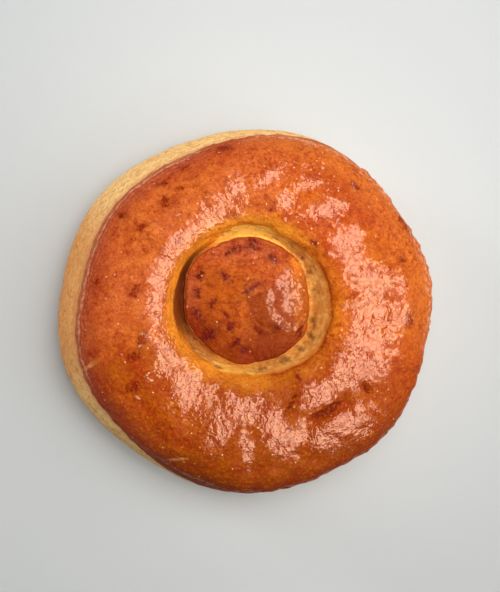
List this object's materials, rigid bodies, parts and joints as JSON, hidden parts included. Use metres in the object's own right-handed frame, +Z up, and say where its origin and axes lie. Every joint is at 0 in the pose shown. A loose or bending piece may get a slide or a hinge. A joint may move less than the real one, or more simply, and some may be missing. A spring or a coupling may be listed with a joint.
{
  "type": "biscuit roll",
  "caption": "Round glazed soft bread roll with a flat base: a domed button stands in an uneven ring, parted by a narrow groove.",
  "frame": {"origin": "middle of the roll's outline, on the surface that it rests on", "axes": "+Z up through the crust, +X to the side across from the bare bulged flank, +Y to the picture's top"},
  "size_m": [0.105, 0.1032, 0.0433],
  "materials": {
    "crust": "egg-washed orange-brown crust, softly glossy, with bare pale dough in the groove and on the left flank"
  },
  "bodies": {
    "root": {"roll": "crust"}
  },
  "joints": []
}
